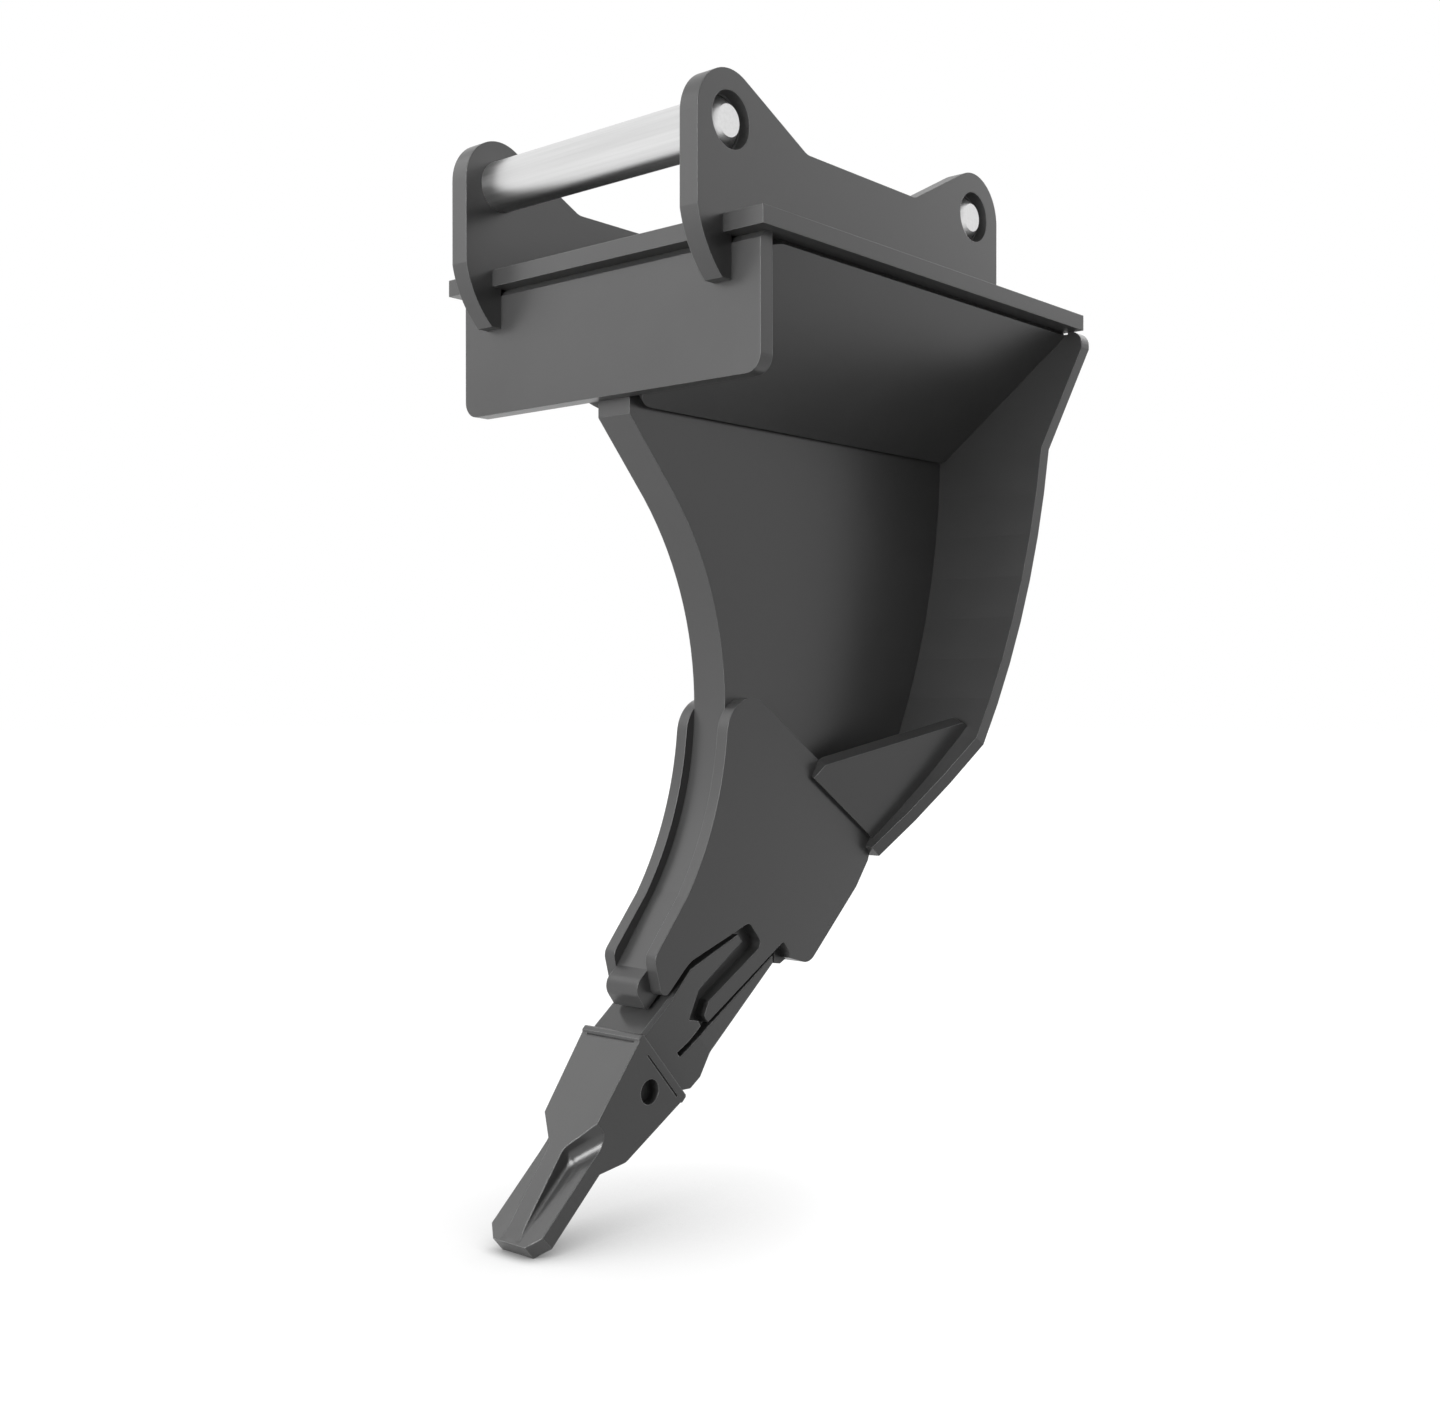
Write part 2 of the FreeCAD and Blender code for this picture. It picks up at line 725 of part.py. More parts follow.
def make_shank():
    """The main blade: a hollow throat, a nose for the adapter and a back along the rear plate."""
    nose_lip = from_tooth(size.nose_lip_back, size.nose_lip_depth)
    nose_heel = from_tooth(size.nose_heel_back, size.nose_heel_depth)
    back_of_lobe = lobe()
    lobe_rise = size.lobe_depth - size.lobe_front_depth
    lobe_run = size.lobe_corner_back - size.lobe_front_back
    join_depth = size.lobe_front_depth + (size.heel_join_back - size.lobe_front_back) * lobe_rise / lobe_run
    outline = [
        (FRONT_PLATE_REAR, UNDERSIDE),
        (FRONT_PLATE_REAR, UNDERSIDE - size.throat_drop),
        (size.throat_top_y, UNDERSIDE - size.throat_top_drop, -size.throat_radius),
        from_tooth(size.throat_foot_back, size.throat_foot_depth),
        from_tooth(size.nose_brow_back, size.nose_brow_depth),
        nose_lip,
        nose_heel,
        from_tooth(size.crotch_top_back, size.crotch_top_depth),
        from_tooth(size.crotch_foot_back, size.crotch_foot_depth),
        strap_line(size.strap_seat_back),
        strap_line(size.heel_back),
        from_tooth(size.heel_toe_back, size.heel_toe_depth),
        from_tooth(size.heel_sole_back, size.heel_sole_depth),
        from_tooth(size.heel_join_back, join_depth),
    ] + back_of_lobe[1:] + BENDS[-2::-1]
    body = add_body("shank")
    sketch = add_sketch(body, "shank_outline", "YZ_Plane")
    draw_outline(sketch, outline)
    add_pad(body, "shank_pad", sketch, size.shank_thickness, symmetric=True)
    round_corners(body, "shank_nose_lip", "yz", [nose_lip], size.nose_lip_radius)
    round_corners(body, "shank_nose_heel", "yz", [nose_heel], size.nose_heel_radius)
    round_corners(body, "shank_lobe_corner", "yz", [back_of_lobe[1]], size.lobe_corner_radius)
    round_corners(body, "shank_lobe_crest", "yz", [back_of_lobe[2]], size.lobe_rear_radius)


def cheek_top():
    """The cheek's top edge: where it leaves the rear plate, and its crown above the throat."""
    seat = (
        FOOT[0] + size.cheek_seat_length * sine(LAST_TILT),
        FOOT[1] + size.cheek_seat_length * cosine(LAST_TILT),
    )
    rise = (seat[0] - size.cheek_crown_y) * tangent(size.cheek_top_angle)
    return seat, (size.cheek_crown_y, seat[1] + rise)


def tongue_top(back):
    """The upper edge of the tongue that backs the adapter's strap."""
    run = (back - size.strap_seat_back) * tangent(size.strap_slope_angle)
    return from_tooth(back, size.strap_seat_depth + run - size.tongue_width / cosine(size.strap_slope_angle))


def make_cheek(label, side):
    """A doubler plate on the shank's side, with a window for the adapter's finger."""
    seat, crown = cheek_top()
    brow = from_tooth(size.cheek_brow_back, size.cheek_brow_depth)
    toe = from_tooth(size.cheek_toe_back, size.cheek_toe_depth)
    window_bend = from_tooth(size.window_bend_back, ZERO)
    window_end = from_tooth(size.window_end_back, size.window_end_depth)
    window_foot = tongue_top(size.window_end_back)
    tongue_tip = tongue_top(size.strap_seat_back + size.tongue_tip_slant)
    tongue_nose = from_tooth(size.strap_seat_back, size.strap_seat_depth - size.tongue_width / 2)
    notch_rear = from_tooth(size.notch_rear_back, size.notch_foot_depth)
    back_of_lobe = lobe()
    body = add_plate(label, [
        crown + (-size.cheek_front_radius,),
        from_tooth(size.cheek_foot_back, size.cheek_foot_depth),
        brow,
        toe,
        window_bend,
        window_end,
        window_foot,
        tongue_tip,
        tongue_nose,
        strap_line(size.strap_seat_back),
        strap_line(size.notch_front_back),
        strap_line(size.notch_rear_back),
        notch_rear,
    ] + back_of_lobe + [seat], SHANK_SIDE, size.cheek_thickness, side)
    for name, spots, radius in (
        ("crown", [crown], size.cheek_crown_radius),
        ("brow", [brow], size.cheek_brow_radius),
        ("toe", [toe], size.cheek_toe_radius),
        ("window_bend", [window_bend], size.window_bend_radius),
        ("window_end", [window_end, window_foot], size.window_end_radius),
        ("tongue_tip", [tongue_tip, tongue_nose], size.tongue_corner_radius),
        ("notch", [notch_rear, strap_line(size.notch_rear_back)], size.notch_radius),
        ("lobe_corner", [back_of_lobe[1]], size.lobe_corner_radius),
        ("lobe_crest", [back_of_lobe[2]], size.lobe_rear_radius),
    ):
        round_corners(body, f"{label}_{name}", "yz", spots, radius)


def make_lower_gusset(label, side):
    """A leaning plate that braces the rear plate's foot from the cheek's outer face.

    Its foot is cut square to its face, so a groove for the weld stays open below it.
    """
    seat = cheek_top()[0]
    slope = math.radians(size.cheek_top_angle.value)
    lean = math.radians(size.lower_gusset_lean_angle.value)
    forward = FreeCAD.Vector(0, -math.cos(slope), math.sin(slope))
    upward = FreeCAD.Vector(0, math.sin(slope), math.cos(slope))
    outward = FreeCAD.Vector(side * math.sin(lean), 0, 0) + upward * math.cos(lean)
    top_edge = FreeCAD.Vector(side * CHEEK_SIDE.value, seat[0].value, seat[1].value)
    landing = top_edge + upward * size.lower_gusset_rise.value
    room = add_body(f"{label}_room")
    room_outline = add_sketch(room, f"{label}_room_outline", "YZ_Plane", CHEEK_SIDE * side)
    far = FOOT[0] - size.rear_width_at_bend
    draw_outline(room_outline, BENDS[1:] + [(far, FOOT[1]), (far, BENDS[1][1])])
    add_pad(room, f"{label}_room_pad", room_outline, size.top_plate_width, backwards=side == LEFT)
    edge_width = size.lower_gusset_thickness * cosine(size.lower_gusset_lean_angle)
    below = (size.lower_gusset_weld_gap - edge_width) / sine(size.lower_gusset_lean_angle)
    behind = -size.rear_plate_thickness
    tip = (size.lower_gusset_tip, size.lower_gusset_height)
    outline = [
        (behind, below),
        (size.lower_gusset_foot, below),
        (size.lower_gusset_foot, size.lower_gusset_brow),
        tip,
        (behind, size.lower_gusset_height),
    ]
    rounded = [(tip, size.lower_gusset_tip_radius)]
    make_leaning_plate(
        label, side, landing, forward, outward, outline, rounded, size.lower_gusset_thickness, room
    )


def place_on_tooth(body):
    """Sets a body whose own Y runs back and whose own Z runs up from the tooth's seat."""
    seat = FreeCAD.Vector(0, size.tooth_seat_y.value, size.tooth_seat_z.value)
    tilt = FreeCAD.Rotation(FreeCAD.Vector(1, 0, 0), size.tooth_angle.value)
    body.Placement = FreeCAD.Placement(seat, tilt)
    body.setExpression("Placement.Base.y", size.tooth_seat_y.formula)
    body.setExpression("Placement.Base.z", size.tooth_seat_z.formula)
    body.setExpression("Placement.Rotation.Angle", size.tooth_angle.formula)


def nose_loft(body, name, kind, slack):
    """The tapered nose between adapter and tooth: solid in one, and wider by the fit in the other."""
    root_sketch = add_sketch(body, f"{name}_root", "XZ_Plane", -size.adapter_gap)
    tip_sketch = add_sketch(body, f"{name}_tip", "XZ_Plane", size.adapter_nose_length + slack)
    for sketch, half, top, bottom in (
        (
            root_sketch,
            size.adapter_nose_root_half_width,
            size.adapter_nose_root_top,
            size.adapter_nose_root_bottom,
        ),
        (
            tip_sketch,
            size.adapter_nose_tip_half_width,
            size.adapter_nose_tip_top,
            size.adapter_nose_tip_bottom,
        ),
    ):
        draw_outline(sketch, rectangle(-half - slack, half + slack, -bottom - slack, -top + slack))
    doc.recompute()
    loft = body.newObject(kind, name)
    loft.Profile = root_sketch
    loft.Sections = [tip_sketch]
    loft.Ruled = True
    doc.recompute()


def keeper_bore(body, name, slack):
    sketch = add_sketch(body, f"{name}_circle", "YZ_Plane")
    draw_circle(sketch, -size.keeper_forward, -size.keeper_depth, size.keeper_diameter / 2 + slack)
    add_pocket(body, name, sketch, size.tooth_half_width * PAST, symmetric=True)


def make_adapter():
    """The adapter: a block under the shank's nose, a strap below it and a finger on each side."""
    half = size.adapter_half_width
    body = add_body("adapter")
    place_on_tooth(body)
    fall = tangent(size.plateau_fall_angle)
    plateau_front = (size.adapter_gap, -size.plateau_depth)
    lean = (size.crotch_top_back - size.crotch_foot_back) / (size.crotch_foot_depth - size.crotch_top_depth)
    plateau_run = size.crotch_top_back + size.crotch_top_depth * lean - size.adapter_gap
    plateau_rear_depth = (size.plateau_depth + plateau_run * fall) / (lean * fall + 1)
    plateau_rear_back = size.crotch_top_back - (plateau_rear_depth - size.crotch_top_depth) * lean
    strap_rear_back = size.strap_end_back + size.strap_end_slant
    strap_rear = (strap_rear_back - size.strap_seat_back) * tangent(size.strap_slope_angle)
    slot_lip = size.slot_front_depth + size.slot_front_height
    waist = (size.strap_waist_back, -size.strap_waist_depth)
    crest = (size.bump_crest_back, -size.bump_crest_depth)
    bump = (size.bump_foot_back, -size.bump_foot_depth)
    core = add_sketch(body, "adapter_core_outline", "YZ_Plane")
    draw_outline(core, [
        plateau_front,
        (size.adapter_gap, -size.adapter_front_depth),
        bump,
        crest,
        waist,
        (size.strap_end_back, -size.strap_end_depth),
        (strap_rear_back, -(size.strap_seat_depth + strap_rear)),
        (size.strap_seat_back, -size.strap_seat_depth),
        (size.slot_front_back, -slot_lip),
        (size.slot_front_back, -size.slot_front_depth),
        (size.crotch_foot_back, -size.crotch_foot_depth),
        (plateau_rear_back, -plateau_rear_depth),
    ])
    add_pad(body, "adapter_core", core, half * 2, symmetric=True)
    plateau_edges = [
        ((half * side,) + plateau_front, (half * side, plateau_rear_back, -plateau_rear_depth))
        for side in (RIGHT, LEFT)
    ]
    names = edges_between(body.Tip.Shape, plateau_edges)
    chamfer = size.plateau_chamfer
    add_edge_feature("PartDesign::Chamfer", "Size", body, "adapter_plateau_chamfer", names, chamfer)
    round_corners(body, "adapter_waist", "yz", [waist], size.strap_waist_radius)
    round_corners(body, "adapter_bump", "yz", [crest, bump], size.bump_radius)
    window_run = size.window_end_back - size.window_bend_back
    window_slope = size.window_end_depth / window_run
    tip_top = (size.finger_tip_back - size.window_bend_back) * window_slope + size.finger_gap
    for name, side in SIDES.items():
        finger = add_sketch(body, f"adapter_finger_{name}_outline", "YZ_Plane", SHANK_SIDE * side)
        draw_outline(finger, [
            (size.strap_waist_back, -plateau_rear_depth),
            (size.strap_waist_back, -size.finger_heel_depth),
            (size.finger_heel_back, -size.finger_heel_depth),
            (size.finger_root_back, -size.finger_root_depth),
            (size.finger_tip_back, -size.finger_tip_depth),
            (size.finger_tip_back, -tip_top),
            (size.window_bend_back, -plateau_rear_depth),
        ])
        width = half - SHANK_SIDE
        add_pad(body, f"adapter_finger_{name}", finger, width, backwards=side == LEFT)
    plan = add_sketch(body, "adapter_taper_outline", "XY_Plane")
    reach = size.heel_back - size.strap_waist_back
    narrowing = (half - size.finger_tip_half_width) / (size.finger_tip_back - size.strap_waist_back)
    for side in (RIGHT, LEFT):
        draw_outline(plan, [
            (half * side, size.strap_waist_back),
            ((half - reach * narrowing) * side, size.heel_back),
            (half * PAST * side, size.heel_back),
        ])
    add_pocket(body, "adapter_taper", plan, size.heel_back * PAST, symmetric=True)
    nose_loft(body, "adapter_nose", "PartDesign::AdditiveLoft", ZERO)
    keeper_bore(body, "adapter_keeper_bore", size.keeper_fit)


def make_scallop_cutter(name, side):
    """The block that scoops one side of the blade, with its lower edges rounded."""
    body = add_body(f"scallop_{name}_cutter")
    place_on_tooth(body)
    floor = -size.tooth_tip_top_depth
    inner = size.spine_half_width * side
    outer = size.tooth_half_width * PAST * side
    past_tip = -(size.tooth_length + size.lip_length)
    inner_end = -(size.tooth_length - size.scallop_inner_reach)
    outer_end = -(size.tooth_length - size.scallop_outer_reach)
    slope = (outer_end - inner_end) / (size.tooth_half_width - size.spine_half_width)
    far_end = inner_end + (size.tooth_half_width * PAST - size.spine_half_width) * slope
    sketch = add_sketch(body, f"scallop_{name}_outline", "XY_Plane", floor)
    draw_outline(sketch, [(inner, past_tip), (outer, past_tip), (outer, far_end), (inner, inner_end)])
    height = size.tooth_bottom_depth
    add_pad(body, f"scallop_{name}_pad", sketch, height)
    corner = (inner, inner_end, floor)
    names = edges_between(body.Tip.Shape, [
        (corner, (inner, past_tip, floor)),
        (corner, (outer, far_end, floor)),
        (corner, (inner, inner_end, floor + height)),
    ])
    radius = size.scallop_radius
    add_edge_feature("PartDesign::Fillet", "Radius", body, f"scallop_{name}_round", names, radius)
    return body


def make_tooth():
    """The tooth: a tapered socket in front of a collar, and a blade with a spine between scallops."""
    half = size.tooth_half_width
    front_half = size.tooth_front_half_width
    length = size.tooth_length
    body = add_body("tooth_casting")
    place_on_tooth(body)
    bottom_slope = tangent(size.tooth_bottom_angle)
    blade_bottom = size.tooth_tip_top_depth + size.blade_thickness
    waist_depth = size.tooth_bottom_depth - (size.tooth_waist_start - size.lip_length) * bottom_slope
    waist = (-size.tooth_waist_start, -waist_depth)
    lip_top = -size.tooth_top_depth + size.lip_rise
    lip_bottom = -size.tooth_bottom_depth - size.lip_rise
    profile = add_sketch(body, "tooth_outline", "YZ_Plane")
    draw_outline(profile, [
        (-size.lip_length, -size.tooth_top_depth),
        (-length, -size.tooth_tip_top_depth),
        (-length, -blade_bottom),
        (-size.tooth_waist_end, -blade_bottom),
        waist,
        (-size.lip_length - size.lip_rise, -size.tooth_bottom_depth),
        (-size.lip_length, lip_bottom),
    ])
    add_pad(body, "tooth_pad", profile, half * 2, symmetric=True)
    round_corners(body, "tooth_waist", "yz", [waist], size.tooth_waist_radius)
    plan = add_sketch(body, "tooth_plan", "XY_Plane")
    for side in (RIGHT, LEFT):
        draw_outline(plan, [
            (half * side, -size.lip_length),
            (front_half * side, -size.tooth_waist_end),
            (front_half * side, -(length - size.tooth_tip_chamfer)),
            (size.tooth_tip_half_width * side, -length),
            (size.tooth_tip_half_width * side, -(length + size.lip_length)),
            (half * PAST * side, -(length + size.lip_length)),
            (half * PAST * side, -size.lip_length),
        ])
    add_pocket(body, "tooth_taper", plan, length * PAST, symmetric=True)
    lip = add_sketch(body, "tooth_lip_outline", "YZ_Plane")
    draw_outline(lip, [
        (ZERO, lip_top - size.lip_chamfer),
        (-size.lip_chamfer, lip_top),
        (-(size.lip_length - size.lip_chamfer), lip_top),
        (-size.lip_length, -size.tooth_top_depth),
        (-size.lip_length, lip_bottom),
        (-size.lip_chamfer, lip_bottom),
        (ZERO, lip_bottom + size.lip_chamfer),
    ])
    add_pad(body, "tooth_lip", lip, half * 2, symmetric=True)
    groove_front = -(size.lip_length + size.groove_width)
    top_groove = add_sketch(body, "top_groove_outline", "XY_Plane", -size.tooth_top_depth - size.groove_depth)
    reach = half - size.groove_edge
    draw_outline(top_groove, rectangle(-reach, reach, groove_front, -size.lip_length))
    add_pocket(body, "top_groove", top_groove, size.groove_depth * PAST, backwards=True)
    for name, side in SIDES.items():
        groove = add_sketch(body, f"groove_{name}_outline", "YZ_Plane", (half - size.groove_depth) * side)
        draw_outline(groove, rectangle(
            groove_front, -size.lip_length, -size.side_groove_bottom, -size.side_groove_top
        ))
        add_pocket(body, f"groove_{name}", groove, size.groove_depth * PAST, backwards=side == RIGHT)
    nose_loft(body, "tooth_socket", "PartDesign::SubtractiveLoft", size.tooth_fit)
    keeper_bore(body, "tooth_keeper_bore", size.keeper_fit)
    scoops = doc.addObject("Part::MultiFuse", "scallop_cutters")
    scoops.Shapes = [make_scallop_cutter(name, side) for name, side in SIDES.items()]
    tooth = doc.addObject("Part::Cut", "tooth")
    tooth.Label = "tooth"
    tooth.Base = body
    tooth.Tool = scoops
    doc.recompute()


def make_keeper():
    """The round pin through the tooth and the adapter's nose, short of the tooth's sides."""
    body = add_body("tooth_pin")
    place_on_tooth(body)
    sketch = add_sketch(body, "tooth_pin_circle", "YZ_Plane")
    draw_circle(sketch, -size.keeper_forward, -size.keeper_depth, size.keeper_diameter / 2)
    add_pad(body, "tooth_pin_pad", sketch, size.keeper_half_length * 2, symmetric=True)


make_pin("front_pin", ZERO)
make_pin("rear_pin", size.pin_spacing)
make_top_plate()
make_front_plate()
make_rear_plate()
make_shank()
for side_name, side_sign in SIDES.items():
    make_ear(f"ear_{side_name}", side_sign)
    make_slant_gusset(f"slant_gusset_{side_name}", side_sign)
    make_cheek(f"cheek_{side_name}", side_sign)
    make_lower_gusset(f"lower_gusset_{side_name}", side_sign)
make_adapter()
make_tooth()
make_keeper()

NODES = [
    "front_pin",
    "rear_pin",
    "ear_right",
    "ear_left",
    "top_plate",
    "front_plate",
    "slant_gusset_right",
    "slant_gusset_left",
    "rear_plate",
    "shank",
    "cheek_right",
    "cheek_left",
    "lower_gusset_right",
    "lower_gusset_left",
    "adapter",
    "tooth",
    "tooth_pin",
]

doc.recompute()
for item in doc.Objects:
    if "Invalid" in item.State or "Error" in item.State:
        raise RuntimeError(f"{item.Label} failed: {item.State}")

os.makedirs("parts", exist_ok=True)
for node in NODES:
    shape = doc.getObjectsByLabel(node)[0].Shape
    if shape.isNull() or not shape.isValid() or len(shape.Solids) != 1:
        raise RuntimeError(f"{node} is not one valid solid")
    shape.exportStep(f"parts/{node}.step")
    box = shape.BoundBox
    print(f"{node}: {box.XLength:.1f} x {box.YLength:.1f} x {box.ZLength:.1f} mm")
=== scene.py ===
"""Looks of the ripper shank: satin paint, bright pins, the studio floor, its light and the camera."""

import math

import bpy
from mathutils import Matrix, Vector


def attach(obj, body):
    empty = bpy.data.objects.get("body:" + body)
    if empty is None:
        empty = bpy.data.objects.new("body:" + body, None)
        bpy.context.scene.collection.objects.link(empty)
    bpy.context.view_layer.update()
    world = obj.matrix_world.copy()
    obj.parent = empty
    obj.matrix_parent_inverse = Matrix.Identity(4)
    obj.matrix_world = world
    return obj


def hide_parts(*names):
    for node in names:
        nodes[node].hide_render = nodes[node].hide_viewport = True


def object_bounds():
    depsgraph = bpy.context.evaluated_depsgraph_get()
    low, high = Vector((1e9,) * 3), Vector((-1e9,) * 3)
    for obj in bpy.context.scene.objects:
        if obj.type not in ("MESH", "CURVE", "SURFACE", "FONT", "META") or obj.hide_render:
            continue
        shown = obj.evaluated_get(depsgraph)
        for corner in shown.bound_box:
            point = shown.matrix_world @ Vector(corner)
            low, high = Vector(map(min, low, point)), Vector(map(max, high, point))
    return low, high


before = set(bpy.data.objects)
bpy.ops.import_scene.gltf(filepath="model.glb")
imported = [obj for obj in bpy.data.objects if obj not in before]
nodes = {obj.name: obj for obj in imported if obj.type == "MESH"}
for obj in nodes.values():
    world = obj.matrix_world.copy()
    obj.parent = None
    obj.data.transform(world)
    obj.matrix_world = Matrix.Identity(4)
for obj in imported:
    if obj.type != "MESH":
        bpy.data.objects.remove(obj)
cad_low, cad_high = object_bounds()

# Camera
# It stands low in front of the tooth's right side and looks level at the shank. Its place and turn
# are those at which the pins and the plates' corners lie where the photograph shows them.
PHOTO_WIDTH = 1440
FOCAL_PIXELS = 1690.4
SENSOR = 36.0
CAMERA_PLACE = (1.36482, -1.37709, -0.61809)
CAMERA_TURN = 40.72
CAMERA_DIP = 0.47
FARTHEST_SEEN = 60.0
camera = bpy.data.objects.new("camera", bpy.data.cameras.new("camera"))
bpy.context.scene.collection.objects.link(camera)
camera.data.sensor_width = SENSOR
camera.data.lens = SENSOR * FOCAL_PIXELS / PHOTO_WIDTH
camera.data.clip_end = FARTHEST_SEEN
camera.location = CAMERA_PLACE
camera.rotation_euler = (math.radians(90 - CAMERA_DIP), 0, math.radians(CAMERA_TURN))
bpy.context.scene.camera = camera

# Floor
# A smooth pale studio floor under the tooth's tip runs out into a white surround. The camera sees
# it as white with the soft shadow of the tooth, partly cast by the lamps and partly painted into its
# glow, and it throws most light back close to the tip.
FLOOR_SIZE = 60.0
FLOOR_GREY = 0.12
FLOOR_GREY_BY_TIP = 0.8
UNDER_TIP = (0.0, -0.15)
PATCH_INNER = 0.1
PATCH_OUTER = 0.3
FLOOR_WHITE = 0.9
FLOOR_GLOW = 1.15
FLOOR_GLOW_SHARE = 0.85
PAINTED_SHADOW_REACH = 0.26
PAINTED_SHADOW_SAMPLES = 16
SHADOW_REACH = 0.9
WHITE_FROM = 2.2


def shown(tree):
    """1 for what the camera, a gloss or a glass shows, and 0 for the light that reaches a surface."""
    ray = tree.nodes.new("ShaderNodeLightPath")
    seen = ray.outputs["Is Camera Ray"]
    for kind in ("Is Glossy Ray", "Is Transmission Ray"):
        either = tree.nodes.new("ShaderNodeMath")
        either.operation = "MAXIMUM"
        tree.links.new(seen, either.inputs[0])
        tree.links.new(ray.outputs[kind], either.inputs[1])
        seen = either.outputs[0]
    return seen


def fade(tree, value, start, end, at_start, at_end):
    """Runs from one number at the start of a value's range to another at its end."""
    ramp = tree.nodes.new("ShaderNodeMapRange")
    ramp.inputs["From Min"].default_value = start
    ramp.inputs["From Max"].default_value = end
    ramp.inputs["To Min"].default_value = at_start
    ramp.inputs["To Max"].default_value = at_end
    tree.links.new(value, ramp.inputs["Value"])
    return ramp.outputs["Result"]


bpy.ops.object.select_all(action="DESELECT")
bpy.ops.mesh.primitive_plane_add(size=FLOOR_SIZE, location=(0, 0, cad_low.z))
floor = bpy.context.object
floor.name = "floor"
bpy.ops.object.transform_apply(location=True, rotation=True, scale=True)
floor_finish = bpy.data.materials.new("floor_white")
floor_finish.use_nodes = True
tree = floor_finish.node_tree
tree.nodes.clear()
place = tree.nodes.new("ShaderNodeTexCoord")
from_tip = tree.nodes.new("ShaderNodeVectorMath")
from_tip.operation = "DISTANCE"
from_tip.inputs[1].default_value = (*UNDER_TIP, cad_low.z)
tree.links.new(place.outputs["Object"], from_tip.inputs[0])
floor_greys = fade(
    tree, from_tip.outputs["Value"], PATCH_INNER, PATCH_OUTER, FLOOR_GREY_BY_TIP, FLOOR_GREY
)
grey_floor = tree.nodes.new("ShaderNodeBsdfDiffuse")
tree.links.new(floor_greys, grey_floor.inputs["Color"])
white_floor = tree.nodes.new("ShaderNodeBsdfDiffuse")
white_floor.inputs["Color"].default_value = (FLOOR_WHITE, FLOOR_WHITE, FLOOR_WHITE, 1)
# Ambient occlusion darkens the floor's white glow near the tooth: a painted shadow.
painted_floor_shadow = tree.nodes.new("ShaderNodeAmbientOcclusion")
painted_floor_shadow.samples = PAINTED_SHADOW_SAMPLES
painted_floor_shadow.inputs["Distance"].default_value = PAINTED_SHADOW_REACH
glow = tree.nodes.new("ShaderNodeEmission")
glow.inputs["Strength"].default_value = FLOOR_GLOW
tree.links.new(painted_floor_shadow.outputs["Color"], glow.inputs["Color"])
away = tree.nodes.new("ShaderNodeVectorMath")
away.operation = "LENGTH"
tree.links.new(place.outputs["Object"], away.inputs[0])
glow_share = fade(tree, away.outputs["Value"], SHADOW_REACH, WHITE_FROM, FLOOR_GLOW_SHARE, 1.0)
seen_floor = tree.nodes.new("ShaderNodeMixShader")
tree.links.new(glow_share, seen_floor.inputs[0])
tree.links.new(white_floor.outputs[0], seen_floor.inputs[1])
tree.links.new(glow.outputs[0], seen_floor.inputs[2])
floor_mix = tree.nodes.new("ShaderNodeMixShader")
tree.links.new(shown(tree), floor_mix.inputs[0])
tree.links.new(grey_floor.outputs[0], floor_mix.inputs[1])
tree.links.new(seen_floor.outputs[0], floor_mix.inputs[2])
surface = tree.nodes.new("ShaderNodeOutputMaterial")
tree.links.new(floor_mix.outputs[0], surface.inputs[0])
floor.data.materials.append(floor_finish)

# White surround
# The studio's white walls and ceiling. They are white for the camera and in reflections, and add
# a little even light.
SURROUND_LIGHT = 0.02
world = bpy.data.worlds.new("white_surround")
world.use_nodes = True
bpy.context.scene.world = world
tree = world.node_tree
tree.nodes.clear()
faint = tree.nodes.new("ShaderNodeBackground")
faint.inputs["Color"].default_value = (1, 1, 1, 1)
faint.inputs["Strength"].default_value = SURROUND_LIGHT
white = tree.nodes.new("ShaderNodeBackground")
white.inputs["Color"].default_value = (1, 1, 1, 1)
blend = tree.nodes.new("ShaderNodeMixShader")
tree.links.new(shown(tree), blend.inputs[0])
tree.links.new(faint.outputs[0], blend.inputs[1])
tree.links.new(white.outputs[0], blend.inputs[2])
surface = tree.nodes.new("ShaderNodeOutputWorld")
tree.links.new(blend.outputs[0], surface.inputs[0])

# Lamps
# Eight soft boxes on stands round the shank, each given by its turn from straight ahead and its rise
# in degrees, and its power in watts. All of them skip the bright pins, which show the white surround
# alone, and the gleam box adds no light of its own: it is only seen in the paint's gloss.
SHANK_MIDDLE = Vector((0.0, 0.3, -0.55))
STAND_DISTANCE = 3.2
BOX_WIDTH = 1.8
all_but_pins = bpy.data.collections.new("all_but_pins")
for pin in ("front_pin", "rear_pin"):
    all_but_pins.objects.link(nodes[pin])
for member in all_but_pins.collection_objects:
    member.light_linking.link_state = "EXCLUDE"
for name, turn, rise, power in (
    ("front_box", 0.0, 0.0, 53.0),
    ("gleam_box", 10.0, 24.0, 115.0),
    ("near_left_box", -25.0, 20.0, 6.0),
    ("left_box", -56.0, 35.0, 11.0),
    ("far_left_box", -115.0, 20.0, 14.0),
    ("right_box", 120.0, 32.0, 8.0),
    ("rear_right_box", 160.0, 35.0, 8.0),
    ("rear_box", 185.0, 20.0, 16.0),
):
    lamp = bpy.data.lights.new(name, "AREA")
    lamp.size = BOX_WIDTH
    lamp.energy = power
    box = bpy.data.objects.new(name, lamp)
    bpy.context.scene.collection.objects.link(box)
    box.light_linking.receiver_collection = all_but_pins
    box.visible_diffuse = name != "gleam_box"
    around = math.radians(turn)
    above = math.radians(rise)
    level = math.cos(above)
    toward = Vector((math.sin(around) * level, -math.cos(around) * level, math.sin(above)))
    box.location = SHANK_MIDDLE + toward * STAND_DISTANCE
    box.rotation_euler = (-toward).to_track_quat("-Z", "Y").to_euler()
